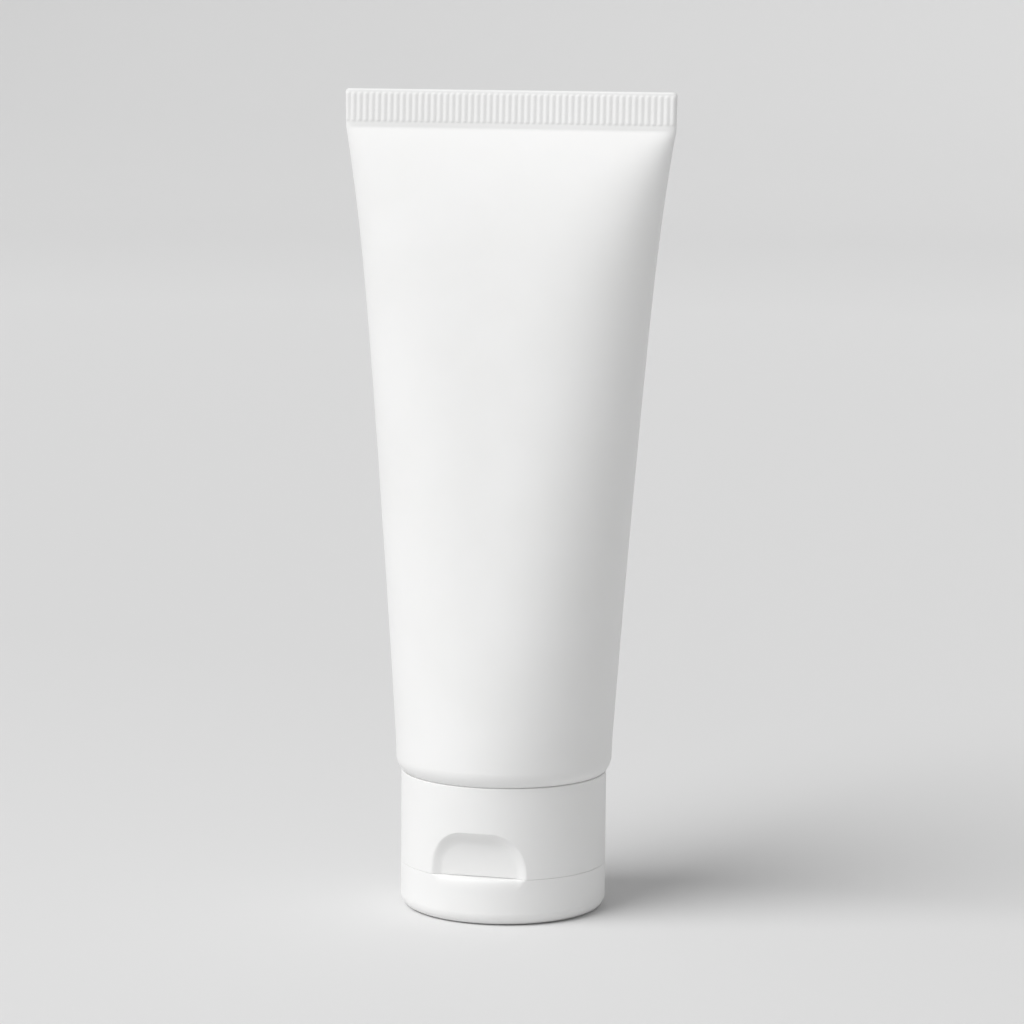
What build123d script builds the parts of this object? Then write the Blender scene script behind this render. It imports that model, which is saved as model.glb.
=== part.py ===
from build123d import *

import math
import os

import numpy as np

# Cream tube standing on its flip-top cap. Millimetres, +Z up along the tube's axis, origin on the
# floor under that axis. The thumb recess looks along -Y, the lid's hinge is on +Y and the flat
# seal at the top runs along X.

# Sleeve: an extruded plastic tube, round at the foot, pressed flat and welded shut at the top
SLEEVE_DIA = 40.0
SLEEVE_WALL = 0.45
SLEEVE_LENGTH = 116.7
SEAL_HEIGHT = 6.0
RIB_PITCH = 1.177
RIB_HEIGHT = 0.27
SEAL_RIB_ROOT = 0.03

# Head: the moulded shoulder and neck, welded into the sleeve's foot
SHOULDER_RADIUS = 3.5
SHOULDER_SLOPE = 15.0
SHOULDER_WALL = 1.5
SPIGOT_HEIGHT = 3.0
SPIGOT_WALL = 1.0
WELD_CLEARANCE = 0.1
NECK_DIA = 15.0
NECK_WALL = 1.3
NECK_END_WALL = 1.0
NECK_ORIFICE_DIA = 5.0
BEAD_HEIGHT = 0.5
BEAD_WIDTH = 1.6
BEAD_RISE = 4.0

# Cap: one moulding of a base and a lid, joined by a thin strap at the back
CAP_DIA = 38.1
CAP_WALL = 1.4
CAP_HEIGHT = 25.5
LID_HEIGHT = 8.5
PARTING_GAP = 0.2
SEAM_GAP = 0.3
LID_FLOOR = 1.6
LID_EDGE_RADIUS = 2.2
LID_INNER_RADIUS = 0.8
DECK_RISE = 0.4
DECK_WALL = 1.4
LOCATING_RING_DEPTH = 1.4
LOCATING_RING_WALL = 1.3
LID_CLEARANCE = 0.25
COLLAR_WALL = 1.4
COLLAR_HEIGHT = 8.0
COLLAR_CLEARANCE = 0.15
NECK_SEAT_GAP = 0.1
NOZZLE_ROOT_DIA = 10.0
NOZZLE_TIP_DIA = 7.0
NOZZLE_LENGTH = 4.3
NOZZLE_BORE = 3.4
PLUG_DIA = 3.0
PLUG_ENTRY = 1.2
EDGE_ROUND = 0.2

# Thumb recess in the front of the base, just above the lid
RECESS_WIDTH = 18.0
RECESS_HEIGHT = 8.4
RECESS_DEPTH = 2.75
RECESS_CORNER = 7.0
RECESS_FLOOR_ROUND = 2.2
RECESS_EDGE_ROUND = 0.35

# Hinge at the back: two flat pads and the bending strap between them
HINGE_WIDTH = 12.0
HINGE_PAD_HEIGHT = 4.0
HINGE_PAD_PROUD = 0.7
HINGE_PAD_SLOPE = 1.2
HINGE_PAD_ROUND = 0.6
STRAP_WIDTH = 10.0
STRAP_THICKNESS = 0.35
STRAP_LENGTH = 1.4

# Cream inside the sleeve and the neck
FILL_CLEARANCE = 0.15
FILL_HEADSPACE = 4.0

# Loft sections along the sleeve and spline spans in a quarter of each section. Sections crowd
# towards the seal, and a flat section's points crowd towards its sides, by these powers.
LOFT_SPANS = 10
LOFT_CROWDING = 1.7
QUARTER_SPANS = 8
QUARTER_CROWDING = 2.0
INTEGRATION_STEPS = 40

# An edge lies on a cylinder if this many steps along it are within this distance
EDGE_STEPS = 4
ON_CYLINDER = 0.001

# Sine integral of a right angle: a nearly flat section's half depth is the quarter length times
# this, over the section's order
SINE_INTEGRAL = 1.3708

sleeve_radius = SLEEVE_DIA / 2
quarter_length = math.pi / 2 * sleeve_radius
flat_end = 1 - SLEEVE_WALL / (quarter_length * SINE_INTEGRAL)
cap_radius = CAP_DIA / 2
cap_inner_radius = cap_radius - CAP_WALL
neck_radius = NECK_DIA / 2
neck_bore_radius = neck_radius - NECK_WALL
recess_floor = cap_radius - RECESS_DEPTH
strap_outer = cap_radius + HINGE_PAD_PROUD

# The shoulder is a cone with a round edge. The cap's rim follows it at the seam's gap.
shoulder_angle = math.radians(SHOULDER_SLOPE)
shoulder_centre_radius = sleeve_radius - SHOULDER_RADIUS
shoulder_reach = SHOULDER_RADIUS + SEAM_GAP


def cone_radius(reach):
    """Radius where the cone meets an edge round of this reach."""
    return shoulder_centre_radius + reach * math.sin(shoulder_angle)


def cone_drop(radius, reach):
    """Depth below the sleeve's foot, at a radius, of the cone that is tangent to an edge round."""
    return reach * math.cos(shoulder_angle) + (cone_radius(reach) - radius) * math.tan(shoulder_angle)


def seam_drop():
    """Depth of the cap's rim below the sleeve's foot.

    The rim meets the shoulder's cone or, on a wider cap, its round edge. On a cap that is wider
    than the sleeve it is level with the foot.
    """
    if cap_radius < cone_radius(shoulder_reach):
        return cone_drop(cap_radius, shoulder_reach)
    return math.sqrt(max(shoulder_reach**2 - (cap_radius - shoulder_centre_radius) ** 2, 0))


# Heights, from the floor up
base_bottom = LID_HEIGHT + PARTING_GAP
parting_height = LID_HEIGHT + PARTING_GAP / 2
deck_bottom = base_bottom + DECK_RISE
deck_top = deck_bottom + DECK_WALL
neck_end = deck_top + NECK_SEAT_GAP
nozzle_end = deck_bottom - NOZZLE_LENGTH
sleeve_foot = CAP_HEIGHT + seam_drop()
seal_foot = sleeve_foot + SLEEVE_LENGTH

BOTTOM = (Align.CENTER, Align.CENTER, Align.MIN)


def ring(outer, inner, low, high):
    """Plain ring about the tube's axis between two heights."""
    height = high - low
    return Pos(0, 0, low) * (Cylinder(outer, height, align=BOTTOM) - Cylinder(inner, height, align=BOTTOM))


def turned(*edges):
    """Full turn about the tube's axis of a closed outline drawn in radius and height."""
    return revolve(Plane.XZ * make_face(edges), Axis.Z)


def box_between(low, high):
    """Box between two opposite corners."""
    size = [b - a for a, b in zip(low, high)]
    return Pos(*low) * Box(*size, align=(Align.MIN, Align.MIN, Align.MIN))


def section_order(share):
    """How far a section is pressed flat: 1 is a circle, and the last one is two walls thick."""
    return 1 / (1 - share * flat_end)


def section_quarter(share, inset):
    """Points of the front right quarter of the sleeve's section at a share of its length.

    The outline turns by a right angle times the order-th power of the share of the quarter's
    length, so every section has the same girth. The inset is measured square to the wall.
    """
    order = section_order(share)
    even = np.linspace(0, 1, QUARTER_SPANS * INTEGRATION_STEPS + 1)
    along = 1 - (1 - even) ** (1 + QUARTER_CROWDING * share)
    middle = (along[1:] + along[:-1]) / 2
    heading = math.pi / 2 * middle**order
    step = quarter_length * np.diff(along)
    across = np.concatenate(([0], np.cumsum(np.cos(heading) * step)))
    inward = np.concatenate(([0], np.cumsum(np.sin(heading) * step)))
    facing = math.pi / 2 * along**order
    x = across - inset * np.sin(facing)
    y = inward - inward[-1] + inset * np.cos(facing)
    return x[::INTEGRATION_STEPS], y[::INTEGRATION_STEPS]


def section_wire(share, inset):
    """Closed smooth outline of the sleeve at a share of its length, starting at the front."""
    x, y = section_quarter(share, inset)
    right = list(zip(x, y)) + list(zip(x[-2::-1], -y[-2::-1]))
    left = [(-a, -b) for a, b in right[1:-1]]
    height = sleeve_foot + share * SLEEVE_LENGTH
    points = [Vector(a, b, height) for a, b in right + left]
    return Wire([Edge.make_spline(points, periodic=True, parameters=list(range(len(points) + 1)))])


def sleeve_loft(inset, top_share):
    """Solid inside the sleeve's surface moved in by the inset, from the foot to a share up."""
    shares = top_share * (1 - (1 - np.linspace(0, 1, LOFT_SPANS + 1)) ** LOFT_CROWDING)
    return Solid.make_loft([section_wire(share, inset) for share in shares])


def hollow_share(inset):
    """Share of the length at which the edge of the sleeve has closed to twice the inset."""
    return (1 - 2 * inset / sleeve_radius) / flat_end


def seal_bar():
    """Flat welded end of the sleeve, reeded with upright ribs on both faces."""
    x, y = section_quarter(1, 0)
    half_width = x[-1]
    root = -y[0] + SEAL_RIB_ROOT
    count = round(2 * half_width / RIB_PITCH)
    pitch = 2 * half_width / count
    edges = []
    for side in (-1, 1):
        for index in range(count):
            start = -half_width + index * pitch
            valley = (start, side * root)
            crest = (start + pitch / 2, side * (root + RIB_HEIGHT))
            edges.append(ThreePointArc(valley, crest, (start + pitch, side * root)))
        edges.append(Line((side * half_width, -root), (side * half_width, root)))
    return extrude(Pos(0, 0, seal_foot) * make_face(edges), SEAL_HEIGHT)


def tube_sleeve():
    """Thin wall from the round foot to the flat seal, with the ribbed seal on top."""
    outside = sleeve_loft(0, 1)
    inside = sleeve_loft(SLEEVE_WALL, hollow_share(SLEEVE_WALL))
    return outside + seal_bar() - inside


def shoulder_height(radius):
    """Height of the shoulder's outer cone at a radius."""
    return sleeve_foot - cone_drop(radius, SHOULDER_RADIUS)


def spigot_radius():
    """Largest round that fits in the slightly flattened sleeve at the spigot's upper end."""
    front = section_quarter(SPIGOT_HEIGHT / SLEEVE_LENGTH, SLEEVE_WALL)[1][0]
    return -front - WELD_CLEARANCE


def tube_head():
    """Rounded shoulder, conical floor, neck with a snap bead, and the spigot inside the sleeve."""
    lift = SHOULDER_WALL / math.cos(shoulder_angle)
    rim = (sleeve_radius, sleeve_foot)
    edge_radius = cone_radius(SHOULDER_RADIUS)
    edge = (edge_radius, shoulder_height(edge_radius))
    root = (neck_radius, shoulder_height(neck_radius))
    bead = neck_end + BEAD_RISE
    spigot = spigot_radius()
    spigot_bore = spigot - SPIGOT_WALL
    orifice = NECK_ORIFICE_DIA / 2
    inside = neck_end + NECK_END_WALL
    return turned(
        CenterArc((shoulder_centre_radius, sleeve_foot), SHOULDER_RADIUS, 0, SHOULDER_SLOPE - 90),
        Polyline(edge, root, (neck_radius, bead + BEAD_WIDTH / 2)),
        ThreePointArc(
            (neck_radius, bead + BEAD_WIDTH / 2),
            (neck_radius + BEAD_HEIGHT, bead),
            (neck_radius, bead - BEAD_WIDTH / 2),
        ),
        Polyline(
            (neck_radius, bead - BEAD_WIDTH / 2),
            (neck_radius, neck_end),
            (orifice, neck_end),
            (orifice, inside),
            (neck_bore_radius, inside),
            (neck_bore_radius, shoulder_height(neck_bore_radius) + lift),
            (spigot_bore, shoulder_height(spigot_bore) + lift),
            (spigot_bore, sleeve_foot + SPIGOT_HEIGHT),
            (spigot, sleeve_foot + SPIGOT_HEIGHT),
            (spigot, sleeve_foot),
            rim,
        ),
    )


def shoulder_room():
    """Room for the shoulder and the sleeve's foot, larger than they are by the seam's gap."""
    edge_radius = cone_radius(shoulder_reach)
    side = sleeve_radius + SEAM_GAP
    top = sleeve_foot + SEAM_GAP
    return turned(
        CenterArc((shoulder_centre_radius, sleeve_foot), shoulder_reach, 0, SHOULDER_SLOPE - 90),
        Polyline(
            (edge_radius, sleeve_foot - cone_drop(edge_radius, shoulder_reach)),
            (0, sleeve_foot - cone_drop(0, shoulder_reach)),
            (0, top),
            (side, top),
            (side, sleeve_foot),
        ),
    )


def recess_cutter():
    """Arched block with a rounded inner end that scoops the thumb recess out of the front."""
    half = RECESS_WIDTH / 2
    outside = cap_radius + RECESS_DEPTH
    top = base_bottom + RECESS_HEIGHT
    low = base_bottom - RECESS_HEIGHT
    spring = top - RECESS_CORNER
    arch = [
        Polyline((half, spring), (half, low), (-half, low), (-half, spring)),
        RadiusArc((-half, spring), (RECESS_CORNER - half, top), RECESS_CORNER),
        Line((RECESS_CORNER - half, top), (half - RECESS_CORNER, top)),
        RadiusArc((half - RECESS_CORNER, top), (half, spring), RECESS_CORNER),
    ]
    front = Plane(origin=(0, -outside, 0), x_dir=(1, 0, 0), z_dir=(0, -1, 0))
    block = extrude(front * make_face(arch), recess_floor - outside)
    inner_end = block.faces().sort_by(Axis.Y)[-1]
    return fillet(inner_end.edges().sort_by(Axis.Z)[1:], RECESS_FLOOR_ROUND)


def recess_backing():
    """Wall that carries the recess on the inside of the skirt."""
    half = RECESS_WIDTH / 2 + CAP_WALL
    top = base_bottom + RECESS_HEIGHT + CAP_WALL
    block = box_between((-half, -cap_radius, base_bottom), (half, CAP_WALL - recess_floor, top))
    return block & Pos(0, 0, base_bottom) * Cylinder(cap_radius, top, align=BOTTOM)


def hinge_pad(low, high, sloped_top):
    """Flat pad on the cap's back, with its far end sloped into the wall."""
    back = cap_inner_radius + CAP_WALL / 2
    far, near = (high, low) if sloped_top else (low, high)
    slope = HINGE_PAD_SLOPE if sloped_top else -HINGE_PAD_SLOPE
    side = [(back, near), (strap_outer, near), (strap_outer, far - slope), (back, far + slope)]
    pad = extrude(Plane.YZ * make_face(Polyline(*side, close=True)), HINGE_WIDTH / 2, both=True)
    return fillet(pad.edges().filter_by(Axis.Z).group_by(Axis.Y)[-1], HINGE_PAD_ROUND)


def outer_edges(shape):
    """Edges that lie on the cap's outer cylinder all along."""

    def on_cylinder(edge):
        places = [edge @ (step / EDGE_STEPS) for step in range(EDGE_STEPS + 1)]
        return all(abs(math.hypot(place.X, place.Y) - cap_radius) < ON_CYLINDER for place in places)

    return shape.edges().filter_by(on_cylinder)


def is_recess_edge(edge):
    """True for an edge of the recess's outline on the cap's front."""
    middle = edge.center()
    return middle.Y < -recess_floor and middle.Z > base_bottom + EDGE_ROUND


def cap_base():
    """Skirt, deck, nozzle, collar for the neck, and the thumb recess: one moulding."""
    collar_bore = neck_radius + COLLAR_CLEARANCE
    collar_top = deck_top + COLLAR_HEIGHT
    ring_radius = cap_inner_radius - LID_CLEARANCE
    ring_end = base_bottom - LOCATING_RING_DEPTH
    skirt = ring(cap_radius, cap_inner_radius, base_bottom, CAP_HEIGHT)
    skirt = fillet(outer_edges(skirt).sort_by(Axis.Z)[0], EDGE_ROUND)
    deck = Pos(0, 0, deck_bottom) * Cylinder(cap_inner_radius + CAP_WALL / 2, DECK_WALL, align=BOTTOM)
    locating_ring = ring(ring_radius, ring_radius - LOCATING_RING_WALL, ring_end, deck_top)
    collar = ring(collar_bore + COLLAR_WALL, collar_bore, deck_bottom, collar_top)
    nozzle = turned(
        Polyline(
            (0, deck_top),
            (NOZZLE_ROOT_DIA / 2, deck_top),
            (NOZZLE_ROOT_DIA / 2, deck_bottom),
            (NOZZLE_TIP_DIA / 2, nozzle_end),
            (0, nozzle_end),
            close=True,
        )
    )
    base = skirt + deck + locating_ring + collar + nozzle + recess_backing()
    base += hinge_pad(parting_height + STRAP_LENGTH / 2, base_bottom + HINGE_PAD_HEIGHT, True)

    bore = Pos(0, 0, nozzle_end) * Cylinder(NOZZLE_BORE / 2, deck_top - nozzle_end, align=BOTTOM)
    bead = neck_end + BEAD_RISE
    groove_reach = neck_radius + BEAD_HEIGHT + COLLAR_CLEARANCE
    groove_half = BEAD_WIDTH / 2 + COLLAR_CLEARANCE
    groove_low = (neck_radius, bead - groove_half)
    groove_high = (neck_radius, bead + groove_half)
    groove = turned(
        ThreePointArc(groove_high, (groove_reach, bead), groove_low),
        Line(groove_low, groove_high),
    )
    lip_room = box_between(
        (-cap_radius, -cap_radius, ring_end), (cap_radius, LID_CLEARANCE - recess_floor, base_bottom)
    )
    base = base - bore - groove - shoulder_room() - lip_room
    base = fillet(outer_edges(base).sort_by(Axis.Z)[-1], EDGE_ROUND)
    base -= recess_cutter()
    return fillet(outer_edges(base).filter_by(is_recess_edge), RECESS_EDGE_ROUND)


def cap_lid():
    """Shallow cup with a rounded outer edge, a thumb lip, a sealing plug and its hinge pad."""
    cup = Cylinder(cap_radius, LID_HEIGHT, align=BOTTOM)
    cup = fillet(cup.edges().sort_by(Axis.Z)[0], LID_EDGE_RADIUS)
    cup = fillet(cup.edges().sort_by(Axis.Z)[-1], EDGE_ROUND)
    hollow = Pos(0, 0, LID_FLOOR) * Cylinder(cap_inner_radius, LID_HEIGHT, align=BOTTOM)
    hollow = fillet(hollow.edges().sort_by(Axis.Z)[0], LID_INNER_RADIUS)
    lip = box_between((-cap_radius, -cap_radius, 0), (cap_radius, -recess_floor, LID_HEIGHT + LID_FLOOR))
    plug_radius = PLUG_DIA / 2
    plug_tip = nozzle_end + PLUG_ENTRY
    plug = Pos(0, 0, LID_FLOOR) * Cylinder(plug_radius, plug_tip - plug_radius - LID_FLOOR, align=BOTTOM)
    dome = Pos(0, 0, plug_tip - plug_radius) * Sphere(plug_radius)
    pad = hinge_pad(LID_HEIGHT - HINGE_PAD_HEIGHT, parting_height - STRAP_LENGTH / 2, False)
    return cup - (hollow - lip) + plug + dome + pad


def hinge_strap():
    """Thin strap across the parting line, which bends when the lid opens."""
    half = STRAP_WIDTH / 2
    low = (-half, strap_outer - STRAP_THICKNESS, parting_height - STRAP_LENGTH / 2)
    high = (half, strap_outer, parting_height + STRAP_LENGTH / 2)
    return box_between(low, high)


def cream_fill():
    """Cream that fills the sleeve up to the headspace, and the neck down to its end wall."""
    inset = SLEEVE_WALL + FILL_CLEARANCE
    top_share = min(hollow_share(inset), 1 - FILL_HEADSPACE / SLEEVE_LENGTH)
    body = sleeve_loft(inset, top_share)
    lift = SHOULDER_WALL / math.cos(shoulder_angle) + FILL_CLEARANCE
    spigot_bore = spigot_radius() - SPIGOT_WALL - FILL_CLEARANCE
    neck = neck_bore_radius - FILL_CLEARANCE
    funnel = turned(
        Polyline(
            (0, neck_end + NECK_END_WALL + FILL_CLEARANCE),
            (neck, neck_end + NECK_END_WALL + FILL_CLEARANCE),
            (neck, shoulder_height(neck) + lift),
            (spigot_bore, shoulder_height(spigot_bore) + lift),
            (spigot_bore, sleeve_foot + SPIGOT_HEIGHT + FILL_CLEARANCE),
            (0, sleeve_foot + SPIGOT_HEIGHT + FILL_CLEARANCE),
            close=True,
        )
    )
    spigot_room = Pos(0, 0, sleeve_foot) * Cylinder(
        SLEEVE_DIA, SPIGOT_HEIGHT + FILL_CLEARANCE, align=BOTTOM
    )
    return body - spigot_room + funnel


parts = {
    "tube_sleeve": tube_sleeve(),
    "tube_head": tube_head(),
    "cap_base": cap_base(),
    "cap_lid": cap_lid(),
    "hinge_strap": hinge_strap(),
    "cream_fill": cream_fill(),
}

os.makedirs("parts", exist_ok=True)
for name, shape in parts.items():
    export_step(shape, f"parts/{name}.step")
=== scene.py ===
import math

import bpy
import numpy as np
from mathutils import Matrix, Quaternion, Vector


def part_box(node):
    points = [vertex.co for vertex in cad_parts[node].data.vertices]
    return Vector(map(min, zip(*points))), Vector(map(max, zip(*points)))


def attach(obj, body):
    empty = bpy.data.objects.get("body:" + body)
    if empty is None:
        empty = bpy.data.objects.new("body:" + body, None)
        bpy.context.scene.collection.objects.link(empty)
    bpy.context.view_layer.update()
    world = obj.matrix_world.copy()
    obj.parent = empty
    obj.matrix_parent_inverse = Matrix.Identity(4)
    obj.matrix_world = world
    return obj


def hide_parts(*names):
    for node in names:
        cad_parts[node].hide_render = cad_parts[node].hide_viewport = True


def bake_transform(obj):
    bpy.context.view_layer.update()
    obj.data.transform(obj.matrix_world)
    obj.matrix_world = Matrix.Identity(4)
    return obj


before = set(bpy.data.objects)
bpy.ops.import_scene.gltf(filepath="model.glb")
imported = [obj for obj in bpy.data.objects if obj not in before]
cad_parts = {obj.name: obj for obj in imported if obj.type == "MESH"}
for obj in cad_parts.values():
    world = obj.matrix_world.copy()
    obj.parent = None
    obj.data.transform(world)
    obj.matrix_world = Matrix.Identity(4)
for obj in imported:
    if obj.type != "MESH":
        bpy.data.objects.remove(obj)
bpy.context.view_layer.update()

# Sleeve: a length of extruded white polyethylene tube with a thin wall. One end stays round for the
# shoulder. The other is pressed flat and welded shut between hot jaws, whose teeth leave a row of
# upright ribs. Sizes here and below are in millimetres, and add_piece turns them into metres.
MM = 0.001


def node_box(node):
    """Lowest and highest corner of a solid of the frame, in millimetres."""
    return [np.array(corner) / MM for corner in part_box(node)]


sleeve_foot, sleeve_top = (corner[2] for corner in node_box("tube_sleeve"))
sleeve_radius = node_box("tube_head")[1][0]
sleeve_wall = 0.45
quarter_girth = math.pi / 2 * sleeve_radius
girth_steps = 240
seal_tightness = 2.1
flat_order = seal_tightness * quarter_girth / sleeve_wall
crease_share = 0.22
crease_power = 12
crease_rise = (0.3, 0.95)
crease_slack = 1.95
belly = 0.15

seal_height = 6.0
seal_foot = sleeve_top - seal_height
plain_band = 1.0
band_foot = seal_foot - plain_band
foot_ease = 0.012
share_at_band = 0.994
hollow_end = 0.97
hollow_rows = 18
body_rows = 53
body_crowding = 1.4
band_rows = np.array([0.12, 0.3, 0.55, 0.8])
rib_foot_rows = np.array([-0.1, 0.0, 0.1, 0.2, 0.3, 0.45, 1.2, 2.5, 3.8])
top_edge_rows = np.array([1.2, 1.0, 0.85, 0.7, 0.55, 0.42, 0.3, 0.2, 0.12, 0.06, 0.02, 0])

rib_count = 53
rib_height = 0.15
rib_roundness = 0.8
rib_run_in = (-0.15, 0.35)
rib_run_out = (0.95, 0.5)
top_edge_round = 0.4
top_edge_flat = 0.35
top_corner_round = 0.75
corner_sharpness = 30

patch_scale = 60
patch_detail = 4
patch_spread = (0.35, 0.65)
grain_detail = 3
plastic_ior = 1.5


def smooth_step(low, high, value):
    """Rises from 0 at low to 1 at high, level at both ends: three times the square less twice the cube."""
    share = np.clip((value - low) / (high - low), 0, 1)
    return share**2 * (3 - 2 * share)


def pressed_rings(shares, inset):
    """Rings of a tube that is pressed flat, one for each share from 0, round, to 1, flat.

    Along a quarter of the girth the wall turns by a right angle times a power of the way along it, so
    each ring has the same girth. The power grows from 1 to the flat order, a little faster halfway for a
    fuller belly. Near the flat end a part of the turn sits in a crease at the side, as a much higher
    power, and the rest turns with a lower one. Adding up short steps gives the quarter, and two mirror
    lines give the ring, from the front by the right side. The inset is square to the wall.
    """
    shares = shares[:, None]
    crease = crease_share * smooth_step(*crease_rise, shares)
    fullness = 1 - crease_slack * crease + belly * shares * (1 - shares)
    order = fullness / (1 - shares * (1 - 1 / flat_order))

    def wall_turn(way):
        """Angle that the wall has turned through, at a way along the quarter."""
        return math.pi / 2 * ((1 - crease) * way**order + crease * way ** (crease_power * order))

    way = np.linspace(0, 1, girth_steps + 1)
    heading = wall_turn((way[1:] + way[:-1]) / 2)
    step = quarter_girth / girth_steps
    across = np.pad(np.cumsum(np.cos(heading) * step, axis=1), ((0, 0), (1, 0)))
    inward = np.pad(np.cumsum(np.sin(heading) * step, axis=1), ((0, 0), (1, 0)))
    facing = wall_turn(way)
    x = across - inset * np.sin(facing)
    y = inward - inward[:, -1:] + inset * np.cos(facing)
    ring_x = np.hstack([x[:, :-1], x[:, :0:-1], -x[:, :-1], -x[:, :0:-1]])
    ring_y = np.hstack([y[:, :-1], -y[:, :0:-1], -y[:, :-1], y[:, :0:-1]])
    return ring_x, ring_y


def eased(share):
    """The share with a gentle start, so that the sleeve leaves the shoulder upright."""
    started = share - foot_ease * (1 - np.exp(-share / foot_ease))
    return started / (1 - foot_ease)


def sleeve_outside():
    """Outer skin from the foot to the top edge: body rows, the plain band, and the ribbed seal.

    A rib is a power of a raised cosine across the seal. It runs in above the band and fades below the
    top edge, where the thickness closes along a quarter ellipse and the two corners are rounded off.
    """
    body_share = 1 - (1 - np.linspace(0, 1, body_rows)) ** body_crowding
    body_height = sleeve_foot + body_share * (band_foot - sleeve_foot)
    rows = [body_height, band_foot + band_rows, seal_foot + rib_foot_rows, sleeve_top - top_edge_rows]
    height = np.concatenate(rows)[:, None]
    share = eased(np.interp(height[:, 0], [sleeve_foot, band_foot, sleeve_top], [0, share_at_band, 1]))
    x, y = pressed_rings(share, 0)

    half_width = x.max()
    across = (x + half_width) / (2 * half_width)
    tooth = (0.5 - 0.5 * np.cos(2 * math.pi * rib_count * across)) ** rib_roundness
    run_in = smooth_step(seal_foot + rib_run_in[0], seal_foot + rib_run_in[1], height)
    run_out = smooth_step(sleeve_top - rib_run_out[0], sleeve_top - rib_run_out[1], height)
    strength = run_in * (1 - run_out)
    y = y + np.sign(y) * rib_height * tooth * strength

    closing = np.clip((height - sleeve_top + top_edge_round) / top_edge_round, 0, 1)
    y = y * (top_edge_flat + (1 - top_edge_flat) * np.sqrt(1 - closing**2))
    rounding = np.clip(height - sleeve_top + top_corner_round, 0, None)
    cut = top_corner_round - np.sqrt(top_corner_round**2 - rounding**2)
    x = x - np.sign(x) * cut * (np.abs(x) / half_width) ** corner_sharpness
    return np.stack([x, y, np.broadcast_to(height, x.shape)], axis=2)


def sleeve_inside():
    """Inner skin from where the two walls close, down to the foot, a wall's thickness inside."""
    share = np.linspace(hollow_end, 0, hollow_rows)
    x, y = pressed_rings(eased(share_at_band * share), sleeve_wall)
    height = sleeve_foot + share[:, None] * (band_foot - sleeve_foot)
    return np.stack([x, y, np.broadcast_to(height, x.shape)], axis=2)


def ring_quads(rows, columns, closed=False):
    """Faces between rings of points: each joins two neighbours of a ring to the same two of the next."""
    row = np.arange(rows if closed else rows - 1)[:, None]
    column = np.arange(columns)[None, :]
    beside = (column + 1) % columns
    first, second = row * columns, (row + 1) % rows * columns
    quads = [first + column, first + beside, second + beside, second + column]
    return np.stack(quads, axis=2).reshape(-1, 4)


def zip_faces(first, columns, upward):
    """Faces that close a flat ring, from each two neighbours in front to their mirrors at the back."""
    quarter = columns // 4
    index = np.concatenate([np.arange(quarter), np.arange(3 * quarter, columns)])
    mirror = 2 * quarter - index
    strip = np.stack([index, index + 1, mirror - 1, mirror], axis=1) % columns + first
    strip = strip if upward else strip[:, ::-1]
    ends = (strip[:, 0] == strip[:, 3]) | (strip[:, 1] == strip[:, 2])
    corner = strip[ends]
    corner = np.where(corner[:, :1] == corner[:, 3:], corner[:, :3], corner[:, [0, 1, 3]])
    return strip[~ends], corner


def add_piece(name, points, quads, triangles, body, slot, *nodes):
    """Closed smooth mesh from points in millimetres and its faces, riding on a body in place of solids."""
    mesh = bpy.data.meshes.new(name)
    corners = np.concatenate([quads.ravel(), triangles.ravel()])
    sizes = np.concatenate([np.full(len(quads), 4), np.full(len(triangles), 3)])
    mesh.vertices.add(len(points))
    mesh.vertices.foreach_set("co", (points * MM).ravel().astype(np.float32))
    mesh.loops.add(len(corners))
    mesh.loops.foreach_set("vertex_index", corners.astype(np.int32))
    mesh.polygons.add(len(sizes))
    mesh.polygons.foreach_set("loop_start", (np.cumsum(sizes) - sizes).astype(np.int32))
    mesh.polygons.foreach_set("use_smooth", np.ones(len(sizes), bool))
    mesh.update(calc_edges=True)
    piece = bpy.data.objects.new(name, mesh)
    bpy.context.scene.collection.objects.link(piece)
    if body:
        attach(piece, body)
    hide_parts(*nodes)
    return piece


def sharpen_rings(piece, columns, rows):
    """Marks the edges along whole rings as sharp, where a cut end meets a smooth wall."""
    ends = np.empty(2 * len(piece.data.edges), np.int32)
    piece.data.edges.foreach_get("vertices", ends)
    ring = ends.reshape(-1, 2) // columns
    sharp = (ring[:, 0] == ring[:, 1]) & np.isin(ring[:, 0], rows)
    mark = piece.data.attributes.new("sharp_edge", "BOOLEAN", "EDGE")
    mark.data.foreach_set("value", sharp)


def add_node(tree, kind, inputs, **settings):
    """One shader node. Settings are its own properties, and inputs are values or other nodes' sockets."""
    made = tree.nodes.new(kind)
    for key, value in settings.items():
        setattr(made, key, value)
    for key, value in inputs.items():
        if isinstance(value, bpy.types.NodeSocket):
            tree.links.new(value, made.inputs[key])
        else:
            made.inputs[key].default_value = value
    return made


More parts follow.
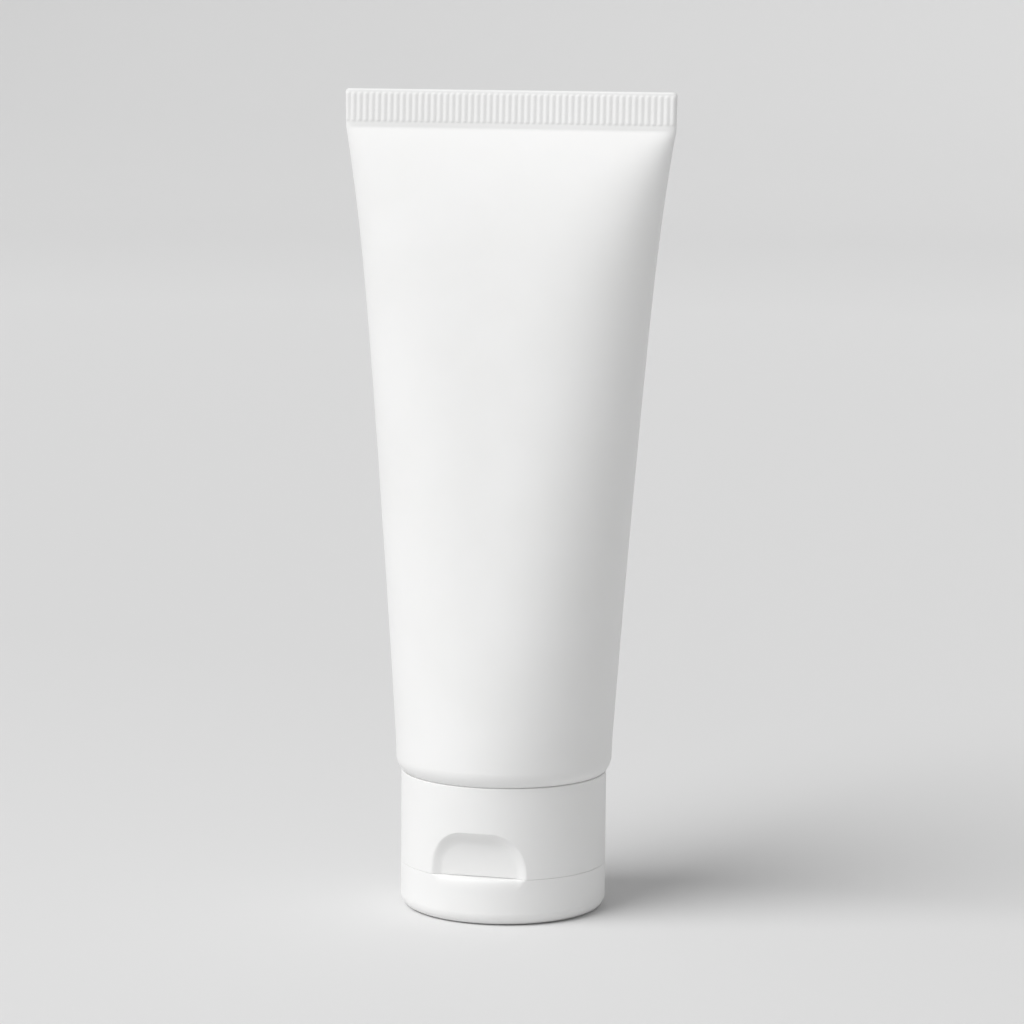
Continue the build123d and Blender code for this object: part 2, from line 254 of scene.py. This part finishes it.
def white_plastic(name, colours, roughness, grain, depth, stretch):
    """Satin white plastic, with noise on the piece's own place.

    A broad noise shades the colour between two whites and the gloss between two roughnesses. A fine
    noise, stretched along the tube, gives the grain of the skin as bump, grain to the metre.
    """
    material = bpy.data.materials.new(name)
    material.use_nodes = True
    tree = material.node_tree
    shader = tree.nodes["Principled BSDF"]
    place = add_node(tree, "ShaderNodeTexCoord", {}).outputs["Object"]
    patches = {"Vector": place, "Scale": patch_scale, "Detail": patch_detail}
    broad = add_node(tree, "ShaderNodeTexNoise", patches).outputs["Fac"]
    tint = add_node(tree, "ShaderNodeValToRGB", {"Fac": broad})
    for stop, position, colour in zip(tint.color_ramp.elements, patch_spread, colours):
        stop.position = position
        stop.color = (*colour, 1)
    gloss_range = {
        "Value": broad,
        "From Min": patch_spread[0],
        "From Max": patch_spread[1],
        "To Min": roughness[0],
        "To Max": roughness[1],
    }
    gloss = add_node(tree, "ShaderNodeMapRange", gloss_range)
    along = add_node(tree, "ShaderNodeMapping", {"Vector": place, "Scale": (1, 1, stretch)})
    streaks = {"Vector": along.outputs["Vector"], "Scale": grain, "Detail": grain_detail}
    fine = add_node(tree, "ShaderNodeTexNoise", streaks).outputs["Fac"]
    skin = add_node(tree, "ShaderNodeBump", {"Height": fine, "Strength": 1, "Distance": depth * MM})
    tree.links.new(tint.outputs["Color"], shader.inputs["Base Color"])
    tree.links.new(gloss.outputs["Result"], shader.inputs["Roughness"])
    tree.links.new(skin.outputs["Normal"], shader.inputs["Normal"])
    shader.inputs["IOR"].default_value = plastic_ior
    return material


tube_white = white_plastic(
    "extruded_white",
    colours=[(0.868, 0.868, 0.862), (0.888, 0.888, 0.884)],
    roughness=(0.56, 0.62),
    grain=2600,
    depth=0.004,
    stretch=0.12,
)

inside_rings = sleeve_inside()
outside_rings = sleeve_outside()
sleeve_rings = np.concatenate([inside_rings, outside_rings])
sleeve_rows, sleeve_columns = sleeve_rings.shape[:2]
ceiling_quads, ceiling_corners = zip_faces(0, sleeve_columns, False)
edge_quads, edge_corners = zip_faces((sleeve_rows - 1) * sleeve_columns, sleeve_columns, True)
sleeve = add_piece(
    "sleeve",
    sleeve_rings.reshape(-1, 3),
    np.concatenate([ring_quads(sleeve_rows, sleeve_columns), ceiling_quads, edge_quads]),
    np.concatenate([ceiling_corners, edge_corners]),
    "tube",
    "tube_plastic",
    "tube_sleeve",
)
sharpen_rings(sleeve, sleeve_columns, [len(inside_rings) - 1, len(inside_rings)])
sleeve.data.materials.append(tube_white)

# Head: the injection-moulded shoulder and neck, welded into the sleeve's foot. Only its round edge
# shows above the cap. The neck has a snap bead for the cap and an orifice in its end wall.
corner_steps = 6
no_faces = np.empty((0, 3), int)

shoulder_round = 3.5
shoulder_rows = 25
shoulder_slope = math.radians(15)
shoulder_wall = 1.5
spigot_height = 3.0
spigot_radius = 18.99
spigot_wall = 1.0
neck_end = node_box("tube_head")[0][2]
neck_radius = 7.5
neck_bore = 6.2
neck_floor = 1.0
neck_root_round = 0.5
orifice_radius = 2.5
bead_rise = 4.0
bead_height = neck_end + bead_rise
bead_half = 0.8
bead_proud = 0.5
mould_round = 0.15
crisp_round = 0.01
head_steps = 240


def rounded_outline(corners):
    """Closed outline in radius and height whose corners, (radius, height, rounding), are arcs.

    An arc touches both sides of its corner. Its centre lies on the corner's bisector, at the rounding
    over the sine of half the corner's angle, and its points turn about that centre in equal steps.
    """
    place, rounding = corners[:, :2], corners[:, 2:]
    back = np.roll(place, 1, axis=0) - place
    ahead = np.roll(place, -1, axis=0) - place
    back /= np.linalg.norm(back, axis=1, keepdims=True)
    ahead /= np.linalg.norm(ahead, axis=1, keepdims=True)
    half_angle = np.arccos(np.clip((back * ahead).sum(axis=1, keepdims=True), -1, 1)) / 2
    bisector = (back + ahead) / (2 * np.cos(half_angle))
    centre = place + bisector * rounding / np.sin(half_angle)
    first = place + back * rounding / np.tan(half_angle) - centre
    last = place + ahead * rounding / np.tan(half_angle) - centre
    sweep = (math.pi - 2 * half_angle)[:, :, None]
    turn = np.linspace(0, 1, corner_steps)[None, :, None]
    arc = np.sin((1 - turn) * sweep) * first[:, None] + np.sin(turn * sweep) * last[:, None]
    return (centre[:, None] + arc / np.sin(sweep)).reshape(-1, 2)


def turned(outline, angle):
    """Rings of an outline turned about the tube's axis. The angle is from the front by the right side."""
    radius, height = outline[:, :1], outline[:, 1:]
    x, y = radius * np.sin(angle), -radius * np.cos(angle)
    return np.stack([x, y, np.broadcast_to(height, x.shape)], axis=2)


def even_turn(steps):
    """Angles of one full turn in equal steps."""
    return np.arange(steps) * 2 * math.pi / steps


edge_centre = sleeve_radius - shoulder_round
cone_edge = edge_centre + shoulder_round * math.sin(shoulder_slope)
cone_height = sleeve_foot - shoulder_round * math.cos(shoulder_slope)
wall_lift = shoulder_wall / math.cos(shoulder_slope)


def cone(radius):
    """Height of the shoulder's cone at a radius."""
    return cone_height - (cone_edge - radius) * math.tan(shoulder_slope)


shoulder_angle = np.linspace(0, shoulder_slope - math.pi / 2, shoulder_rows)
shoulder_edge = np.stack([np.cos(shoulder_angle), np.sin(shoulder_angle)], axis=1) * shoulder_round
shoulder_edge += (edge_centre, sleeve_foot)
spigot_bore = spigot_radius - spigot_wall
head_corners = [
    (neck_radius, cone(neck_radius), neck_root_round),
    (neck_radius, bead_height + bead_half, mould_round),
    (neck_radius + bead_proud, bead_height, bead_proud),
    (neck_radius, bead_height - bead_half, mould_round),
    (neck_radius, neck_end, mould_round),
    (orifice_radius, neck_end, mould_round),
    (orifice_radius, neck_end + neck_floor, mould_round),
    (neck_bore, neck_end + neck_floor, mould_round),
    (neck_bore, cone(neck_bore) + wall_lift, mould_round),
    (spigot_bore, cone(spigot_bore) + wall_lift, mould_round),
    (spigot_bore, sleeve_foot + spigot_height, mould_round),
    (spigot_radius, sleeve_foot + spigot_height, mould_round),
    (spigot_radius, sleeve_foot, mould_round / 2),
]
# These two corners only close the outline, because the shoulder's edge takes their place.
closing_corners = [(sleeve_radius, sleeve_foot, crisp_round), (cone_edge, cone_height, crisp_round)]
head_outline = rounded_outline(np.array(closing_corners + head_corners))[2 * corner_steps :]
head_rings = turned(np.concatenate([shoulder_edge, head_outline])[::-1], even_turn(head_steps))
head = add_piece(
    "shoulder_and_neck",
    head_rings.reshape(-1, 3),
    ring_quads(*head_rings.shape[:2], closed=True),
    no_faces,
    "tube",
    "tube_plastic",
    "tube_head",
)
sharpen_rings(head, head_rings.shape[1], [len(head_rings) - 1])
head.data.materials.append(tube_white)

# Cap base: a polypropylene moulding that snaps over the neck's bead. Its skirt has the thumb recess
# in front and a hinge pad at the back. Its deck carries the nozzle, the neck's collar and a low ring
# that centres the lid.
base_low, base_high = node_box("cap_base")
strap_low, strap_high = node_box("hinge_strap")
cap_radius = base_high[0]
cap_wall = 1.4
parting_height = (strap_low[2] + strap_high[2]) / 2
parting_gap = 0.03
parting_round = 0.06
base_foot = parting_height + parting_gap / 2
lid_height = parting_height - parting_gap / 2
cap_inner = cap_radius - cap_wall
seam_gap = 0.3
seam_depth = 0.3
seam_contact = 0.05
rim_round = 0.15

deck_rise = 0.4
deck_wall = 1.4
deck_low = base_foot + deck_rise
deck_high = deck_low + deck_wall
ring_drop = 1.4
ring_play = 0.25
ring_wall = 1.3
ring_foot = base_foot - ring_drop
ring_outer = cap_inner - ring_play
ring_inner = ring_outer - ring_wall
neck_play = 0.15
collar_wall = 1.4
collar_height = 8.0
collar_bore = neck_radius + neck_play
collar_outer = collar_bore + collar_wall
collar_top = deck_high + collar_height
groove_half = bead_half + neck_play
groove_radius = collar_bore + bead_proud
nozzle_end = base_low[2]
nozzle_root = 5.0
nozzle_tip = 3.5
nozzle_bore = 1.7
nozzle_tip_round = 0.4
nozzle_root_round = 0.5
hidden_round = 0.05

recess_half = 9.45
recess_height = 8.4
recess_top = base_foot + recess_height
recess_depth = 2.75
recess_lean = 0.08
recess_corner = 7.0
recess_floor_round = 2.6
recess_rim_blend = 1.0
wall_steepness = 5.0

pad_half = 6.0
pad_height = 4.0
pad_slope_height = 2.4
pad_slope_depth = 1.4
pad_slope = pad_slope_height / pad_slope_depth
pad_outer = base_high[1]
pad_flat = pad_height - (pad_outer - cap_radius) * pad_slope
pad_edge_blend = 0.7
pad_root_blend = 0.25
strap_length = 1.4

recess_sector = 33
recess_step = 0.4
pad_sector = 23
pad_step = 0.5
side_step = 2.0
recess_rows = 76
recess_margin = 0.6
upper_rows = 8
inner_rows = 12
wall_margin = 1.0
inner_margin = 0.5


def smooth_max(a, b, blend):
    """The larger of two, rounded over where they are within the blend of each other."""
    share = np.clip(0.5 + (a - b) / (2 * blend), 0, 1)
    return b + (a - b) * share + blend * share * (1 - share)


def wall_setback(x):
    """How far the cap's round wall lies behind a plane that touches it at the front or the back."""
    return cap_radius - np.sqrt(cap_radius**2 - x**2)


def recess_push(x, height):
    """How far the front wall is pushed in to make the thumb recess, at a place across and up.

    The distance inside an arch with round corners sets the depth of a cut with a leaning floor and a
    round inner edge. A smooth maximum of that cut and the plain wall rounds the recess's rim.
    """
    side = np.abs(x) - recess_half + recess_corner
    rise = height - recess_top + recess_corner
    outward = np.hypot(np.maximum(side, 0), np.maximum(rise, 0)) + np.minimum(np.maximum(side, rise), 0)
    inside = recess_corner - outward
    short = np.clip(1 - inside / recess_floor_round, 0, 1)
    floor_edge = recess_floor_round * (1 - np.sqrt(1 - short**2))
    floor = recess_depth - recess_lean * (height - base_foot)
    cut = floor - floor_edge - wall_steepness * np.maximum(-inside, 0)
    return smooth_max(cut, wall_setback(x), recess_rim_blend) - wall_setback(x)


def pad_push(x, into, along):
    """How far the back wall stands out as the hinge pad.

    A place is given across, by how far it is into the pad from its near end, and along to its slope.
    The pad is the smooth minimum of a flat face, two steep sides, a steep near end and a long slope.
    """
    face = np.full_like(x + into, pad_outer)
    sides = pad_outer + wall_steepness * (pad_half - np.abs(x))
    near = pad_outer + wall_steepness * into
    slope = pad_outer + along / pad_slope
    for plane in (sides, near, slope):
        face = -smooth_max(-face, -plane, pad_edge_blend)
    wall = cap_radius - wall_setback(x)
    return smooth_max(face - wall, np.zeros_like(face), pad_root_blend)


def cap_angles():
    """One turn, with short steps across the recess in front and the pad behind, and long ones between.

    The steps and half of each sector are given in degrees, and the angles are in radians.
    """
    front = np.arange(-recess_sector, recess_sector, recess_step)
    right = np.arange(recess_sector, 180 - pad_sector, side_step)
    back = np.arange(180 - pad_sector, 180 + pad_sector, pad_step)
    left = np.arange(180 + pad_sector, 360 - recess_sector, side_step)
    return np.radians(np.concatenate([front, right, back, left]))


def upright(radius, height):
    """Rows of a straight wall at one radius."""
    return np.stack([np.full_like(height, radius), height], axis=1)


def base_outline():
    """Rows of the base, up its outer wall, down inside, round the collar and nozzle, and back below."""
    rim_radius = np.array([cap_radius, cap_radius - seam_depth, cap_inner])
    rim_reach = shoulder_round + np.array([seam_gap, seam_contact, seam_contact])
    rim_height = sleeve_foot - np.sqrt(rim_reach**2 - (rim_radius - edge_centre) ** 2)
    corners = [
        (cap_radius, base_foot, parting_round),
        (cap_radius, rim_height[0], rim_round),
        (rim_radius[1], rim_height[1], seam_contact),
        (cap_inner, rim_height[2], mould_round),
        (cap_inner, deck_high, mould_round),
        (collar_outer, deck_high, mould_round),
        (collar_outer, collar_top, mould_round),
        (collar_bore, collar_top, mould_round),
        (collar_bore, bead_height + groove_half, mould_round),
        (groove_radius, bead_height, bead_proud),
        (collar_bore, bead_height - groove_half, mould_round),
        (collar_bore, deck_high, mould_round),
        (nozzle_bore, deck_high, mould_round),
        (nozzle_bore, nozzle_end, mould_round),
        (nozzle_tip, nozzle_end, nozzle_tip_round),
        (nozzle_root, deck_low, nozzle_root_round),
        (ring_inner, deck_low, mould_round),
        (ring_inner, ring_foot, mould_round),
        (ring_outer, ring_foot, mould_round),
        (ring_outer, deck_low, hidden_round),
        (cap_inner, deck_low, hidden_round),
        (cap_inner, base_foot, hidden_round),
    ]
    outline = rounded_outline(np.array(corners))
    recess_part = np.linspace(base_foot + 2 * parting_round, recess_top + recess_margin, recess_rows)
    upper_part = np.linspace(recess_top + wall_margin, rim_height[0] - wall_margin, upper_rows)
    inner_part = np.linspace(rim_height[2] - wall_margin, deck_high + inner_margin, inner_rows)
    wall = upright(cap_radius, np.concatenate([recess_part, upper_part]))
    inner_wall = upright(cap_inner, inner_part)
    parts = np.split(outline, [corner_steps, 4 * corner_steps])
    return np.concatenate([parts[0], wall, parts[1], inner_wall, parts[2]])


def base_rings(angle):
    """The turned base, with its front pushed in for the recess and its back pushed out for the pad.

    The recess moves the skirt and all behind it, less and less towards the collar. The low ring dies
    out there, because the lid's lip takes its place.
    """
    outline = base_outline()
    rings = turned(outline, angle)
    radius, height = outline[:, :1], outline[:, 1:]
    x = cap_radius * np.sin(angle)[None, :]
    in_front = np.cos(angle)[None, :] > 0
    push = np.where(in_front, recess_push(x, height), 0)
    rings[:, :, 1] += push * smooth_step(collar_outer, ring_inner, radius)
    low_ring = (radius > collar_outer) & (height < base_foot)
    rings[:, :, 2] += np.where(low_ring, (base_foot - height) * np.clip(push, 0, 1), 0)

    into = height - parting_height - strap_length / 2
    along = base_foot + pad_flat - height
    pad = np.where(in_front, 0, pad_push(x, into, along))
    rings[:, :, 1] += pad * smooth_step(cap_inner, cap_radius, radius)
    return rings


cap_white = white_plastic(
    "moulded_white",
    colours=[(0.872, 0.872, 0.866), (0.886, 0.886, 0.881)],
    roughness=(0.54, 0.59),
    grain=4200,
    depth=0.003,
    stretch=1.0,
)


def even_shading(piece):
    """Lets large faces set the shading at a rounded edge, so that flat walls shade flat up to it."""
    piece.modifiers.new("even_shading", "WEIGHTED_NORMAL")


cap_turn = cap_angles()
base_grid = base_rings(cap_turn)
base = add_piece(
    "flip_top_base",
    base_grid.reshape(-1, 3),
    ring_quads(*base_grid.shape[:2], closed=True),
    no_faces,
    "tube",
    "cap_plastic",
    "cap_base",
)
even_shading(base)
base.data.materials.append(cap_white)

# Lid: the shallow cup that the tube stands on, moulded with the base in the same plastic. It has a
# thumb lip under the recess, a plug that shuts the nozzle and the other hinge pad.
lid_edge_round = 2.2
lid_floor = 1.6
lid_inner_round = 0.8
lid_wall_rows = 32
lid_wall_margin = 0.15
lid_bottom_rows = 12
lid_bottom_start = 1.0
lid_bottom_margin = 0.5
lip_tuck = 0.8
lip_back = cap_radius - recess_depth - lip_tuck
lip_edge_depth = 0.6
lip_edge_height = 2.0
lip_fade = (7.2, 9.2)
plug_radius = 1.5
plug_entry = 1.2
plug_tip = nozzle_end + plug_entry
plug_root_round = 0.4
plug_dome = 0.95 * plug_radius
pole_radius = 0.2
pole_round = 0.02


def fan_faces(first, columns, pole, upward):
    """Triangles from each two neighbours of a ring to one point in its middle."""
    column = np.arange(columns)
    beside = (column + 1) % columns
    fan = np.stack([first + column, first + beside, np.full(columns, pole)], axis=1)
    return fan if upward else fan[:, ::-1]


def end_fans(rows, columns):
    """Triangles that close the first and the last ring, each to a point that comes after all rings."""
    pole = rows * columns
    low = fan_faces(0, columns, pole, False)
    high = fan_faces(pole - columns, columns, pole + 1, True)
    return np.concatenate([low, high])


def lid_rings(angle):
    """The turned cup, from the middle of its outer face, up the wall, down inside and up the plug.

    Along the lip the wall's top edge is a larger, upright quarter ellipse, and the wall's rows end below
    it. The inner wall stops at the lip's flat back, and the back of the outer wall is pushed out for the
    pad. The last two corners only close the outline and are left off.
    """
    corners = [
        (pole_radius, 0, pole_round),
        (cap_radius, 0, lid_edge_round),
        (cap_radius, lid_height, parting_round),
        (cap_inner, lid_height, mould_round),
        (cap_inner, lid_floor, lid_inner_round),
        (plug_radius, lid_floor, plug_root_round),
        (plug_radius, plug_tip, plug_dome),
        (pole_radius / 4, plug_tip, pole_round / 4),
        (pole_radius / 4, plug_tip / 2, pole_round / 4),
        (pole_radius, plug_tip / 2, pole_round / 4),
    ]
    outline = rounded_outline(np.array(corners))[: -2 * corner_steps]
    bottom_end = cap_radius - lid_edge_round - lid_bottom_margin
    bottom_radius = np.linspace(lid_bottom_start, bottom_end, lid_bottom_rows)
    bottom = np.stack([bottom_radius, np.zeros_like(bottom_radius)], axis=1)
    wall = upright(cap_radius, np.full(lid_wall_rows, lid_height))
    parts = np.split(outline, [corner_steps, 2 * corner_steps])
    outline = np.concatenate([parts[0], bottom, parts[1], wall, parts[2]])
    rings = turned(outline, angle)

    radius, height = outline[:, :1], outline[:, 1:]
    x = cap_radius * np.sin(angle)[None, :]
    in_front = np.cos(angle)[None, :] > 0
    lip = np.where(in_front, 1 - smooth_step(*lip_fade, np.abs(x)), 0)
    deeper = 1 + (lip_edge_depth / parting_round - 1) * lip
    taller = 1 + (lip_edge_height / parting_round - 1) * lip

    wall_rows = len(parts[0]) + len(bottom) + len(parts[1]) + np.arange(lid_wall_rows)
    wall_foot = lid_edge_round + lid_wall_margin
    wall_reach = lid_height - parting_round * taller - lid_wall_margin - wall_foot
    rings[wall_rows, :, 2] = wall_foot + np.linspace(0, 1, lid_wall_rows)[:, None] * wall_reach
    edge = wall_rows[-1] + 1 + np.arange(corner_steps)
    edge_radius = cap_radius + (radius[edge] - cap_radius) * deeper
    rings[edge, :, 0] = edge_radius * np.sin(angle)
    rings[edge, :, 1] = -edge_radius * np.cos(angle)
    rings[edge, :, 2] = lid_height + (height[edge] - lid_height) * taller
    inner = slice(edge[-1] + 1, None)
    rings[inner, :, 1] = np.maximum(rings[inner, :, 1], -lip_back)

    into = parting_height - strap_length / 2 - rings[:, :, 2]
    along = rings[:, :, 2] - lid_height + pad_flat
    pad = np.where(in_front, 0, pad_push(x, into, along))
    rings[: edge[0], :, 1] += (pad * smooth_step(cap_inner, cap_radius, radius))[: edge[0]]
    return rings


lid_grid = lid_rings(cap_turn)
lid_rows, lid_columns = lid_grid.shape[:2]
lid_poles = np.array([(0, 0, 0), (0, 0, plug_tip)])
lid = add_piece(
    "flip_lid",
    np.concatenate([lid_grid.reshape(-1, 3), lid_poles]),
    ring_quads(lid_rows, lid_columns),
    end_fans(lid_rows, lid_columns),
    "lid",
    "cap_plastic",
    "cap_lid",
)
even_shading(lid)
lid.data.materials.append(cap_white)

# Hinge strap: the thin web of the same moulding that joins the two pads; on the real cap it bends
# when the lid opens, while this piece stays straight and rides on neither body. Its ends are tucked a
# little way into the pads.
strap_tuck = 0.25
strap_round = 0.12
strap_rows = 29


def strap_rings():
    """A flat oblong section with round corners, carried up across the parting line."""
    half = (strap_high - strap_low)[:2] / 2
    middle = (strap_high + strap_low)[:2] / 2
    corners = np.array([(-1, -1), (1, -1), (1, 1), (-1, 1)]) * half
    section = rounded_outline(np.column_stack([corners, np.full(len(corners), strap_round)])) + middle
    height = np.linspace(strap_low[2] - strap_tuck, strap_high[2] + strap_tuck, strap_rows)
    section = np.broadcast_to(section, (strap_rows, *section.shape))
    height = np.broadcast_to(height[:, None, None], (*section.shape[:2], 1))
    return np.concatenate([section, height], axis=2)


strap_grid = strap_rings()
strap_columns = strap_grid.shape[1]
strap_ends = strap_grid[[0, -1]].mean(axis=1)
strap = add_piece(
    "hinge_web",
    np.concatenate([strap_grid.reshape(-1, 3), strap_ends]),
    ring_quads(strap_rows, strap_columns),
    end_fans(strap_rows, strap_columns),
    None,
    "cap_plastic",
    "hinge_strap",
)
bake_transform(strap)
strap.data.materials.append(cap_white)

# Cream: the soft white filling of the sleeve and the neck, on the frame's own solid. It is seen only
# as a spot through the nozzle when the lid is open.
cream_colours = [(0.89, 0.86, 0.80), (0.93, 0.91, 0.86)]
cream_scale = 350
cream_detail = 3
cream_relief = 0.6
cream_depth = 0.3
cream_roughness = 0.3

cream = bpy.data.materials.new("cream")
cream.use_nodes = True
cream_tree = cream.node_tree
cream_shader = cream_tree.nodes["Principled BSDF"]
cream_place = add_node(cream_tree, "ShaderNodeTexCoord", {}).outputs["Object"]
cream_lumps = {"Vector": cream_place, "Scale": cream_scale, "Detail": cream_detail}
cream_noise = add_node(cream_tree, "ShaderNodeTexNoise", cream_lumps).outputs["Fac"]
cream_tint = add_node(cream_tree, "ShaderNodeValToRGB", {"Fac": cream_noise})
for stop, colour in zip(cream_tint.color_ramp.elements, cream_colours):
    stop.color = (*colour, 1)
cream_swirl = add_node(
    cream_tree,
    "ShaderNodeBump",
    {"Height": cream_noise, "Strength": cream_relief, "Distance": cream_depth * MM},
)
cream_tree.links.new(cream_tint.outputs["Color"], cream_shader.inputs["Base Color"])
cream_tree.links.new(cream_swirl.outputs["Normal"], cream_shader.inputs["Normal"])
cream_shader.inputs["Roughness"].default_value = cream_roughness
cream_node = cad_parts["cream_fill"]
cream_node.data.materials.clear()
cream_node.data.materials.append(cream)

# Stage: a pale grey paper dish, flat under the tube and turned up all round far away, so that the
# floor runs into the background with no line from any side. Its grey carries painted light: it is
# lighter near a point to the front left, towards the soft box, and darker away from it.
dish_flat = 2200.0
dish_round = 900.0
dish_wall = 300.0
dish_start = 30.0
dish_flat_rows = 24
dish_bend_rows = 16
dish_steps = 128
# Painted light: the paper's tones fall from the lightest near this point, to the front left under the soft
# box, to the darkest up the far wall, as a painted falloff of the key light.
painted_light_middle = Vector((-260, -220, 0))
paper_reach = 3200.0
paper_places = [220, 480, 1650, 2700]
painted_falloff_tones = [0.795, 0.751, 0.751, 0.653]
paper_roughness = 0.9
paper_sheen = 0.2


def dish_points():
    """Flat disc, a quarter circle up and a short wall, turned about the tube's axis."""
    radius = np.geomspace(dish_start, dish_flat, dish_flat_rows)
    turn = np.linspace(0, math.pi / 2, dish_bend_rows)[1:]
    flat = np.stack([radius, np.zeros_like(radius)], axis=1)
    bend = np.stack([dish_flat + dish_round * np.sin(turn), dish_round * (1 - np.cos(turn))], axis=1)
    wall = [(dish_flat + dish_round, dish_round + dish_wall)]
    return turned(np.concatenate([flat, bend, wall]), even_turn(dish_steps))


dish = dish_points()
dish_rows, dish_columns = dish.shape[:2]
floor_mesh = bpy.data.meshes.new("floor")
floor_faces = [
    *ring_quads(dish_rows, dish_columns)[:, ::-1].tolist(),
    *fan_faces(0, dish_columns, dish_rows * dish_columns, True).tolist(),
]
floor_mesh.from_pydata(np.concatenate([dish.reshape(-1, 3), [(0, 0, 0)]]) * MM, [], floor_faces)
floor_mesh.polygons.foreach_set("use_smooth", np.ones(len(floor_faces), bool))
floor = bpy.data.objects.new("floor", floor_mesh)
bpy.context.scene.collection.objects.link(floor)

paper = bpy.data.materials.new("grey_paper")
paper.use_nodes = True
paper_tree = paper.node_tree
paper_shader = paper_tree.nodes["Principled BSDF"]
# Painted falloff of the key light: the paper's grey darkens with distance from the painted light's middle.
paper_place = add_node(paper_tree, "ShaderNodeTexCoord", {}).outputs["Object"]
paper_away = add_node(
    paper_tree, "ShaderNodeVectorMath", {0: paper_place, 1: painted_light_middle * MM}, operation="DISTANCE"
)
paper_share = add_node(
    paper_tree,
    "ShaderNodeMapRange",
    {"Value": paper_away.outputs["Value"], "From Min": 0, "From Max": paper_reach * MM},
)
painted_falloff_tint = add_node(paper_tree, "ShaderNodeValToRGB", {"Fac": paper_share.outputs["Result"]})
paper_stops = painted_falloff_tint.color_ramp.elements
for place in paper_places[:-2]:
    paper_stops.new(place / paper_reach)
for stop, place, tone in zip(paper_stops, paper_places, painted_falloff_tones):
    stop.position = place / paper_reach
    stop.color = (tone, tone, tone, 1)
paper_tree.links.new(painted_falloff_tint.outputs["Color"], paper_shader.inputs["Base Color"])
paper_shader.inputs["Roughness"].default_value = paper_roughness
paper_shader.inputs["Specular IOR Level"].default_value = paper_sheen
floor_mesh.materials.append(paper)

# Camera: a little above the top of the tube and to its right, looking slightly down on it through a
# long lens, with a trace of roll.
view_turn = math.radians(15.3)
view_distance = 678.5
view_height = 162.9
aim_side = 1.1
aim_height = 73.7
view_roll = math.radians(0.496)
lens = 130.4
sensor_width = 36


def around(turn, away, height):
    """Place at a turn about the tube's axis, from the front by the right side, and at a height."""
    return Vector((away * math.sin(turn), -away * math.cos(turn), height))


camera_place = around(view_turn, view_distance, view_height) * MM
aim = Vector((aim_side * math.cos(view_turn), aim_side * math.sin(view_turn), aim_height)) * MM
camera_data = bpy.data.cameras.new("camera")
camera_data.lens = lens
camera_data.sensor_width = sensor_width
camera = bpy.data.objects.new("camera", camera_data)
camera.location = camera_place
roll = Quaternion((0, 0, 1), view_roll)
camera.rotation_euler = ((aim - camera_place).to_track_quat("-Z", "Y") @ roll).to_euler()
bpy.context.scene.collection.objects.link(camera)
bpy.context.scene.camera = camera

# Light: one large soft box high on the left, far enough to light the whole floor alike, and an even
# white surround that fills the shadows.
key_turn = math.radians(58)
key_rise = math.radians(47)
key_spread = math.radians(46)
key_strength = 2.4
surround = 0.352

key_direction = around(view_turn - key_turn, math.cos(key_rise), math.sin(key_rise))
key_data = bpy.data.lights.new("soft_box", "SUN")
key_data.angle = key_spread
key_data.energy = key_strength
key = bpy.data.objects.new("soft_box", key_data)
key.rotation_euler = (-key_direction).to_track_quat("-Z", "Y").to_euler()
bpy.context.scene.collection.objects.link(key)
world = bpy.data.worlds.new("surround")
world.use_nodes = True
background = world.node_tree.nodes["Background"]
background.inputs["Color"].default_value = (1, 1, 1, 1)
background.inputs["Strength"].default_value = surround
bpy.context.scene.world = world

bpy.context.scene.view_settings.view_transform = "Standard"
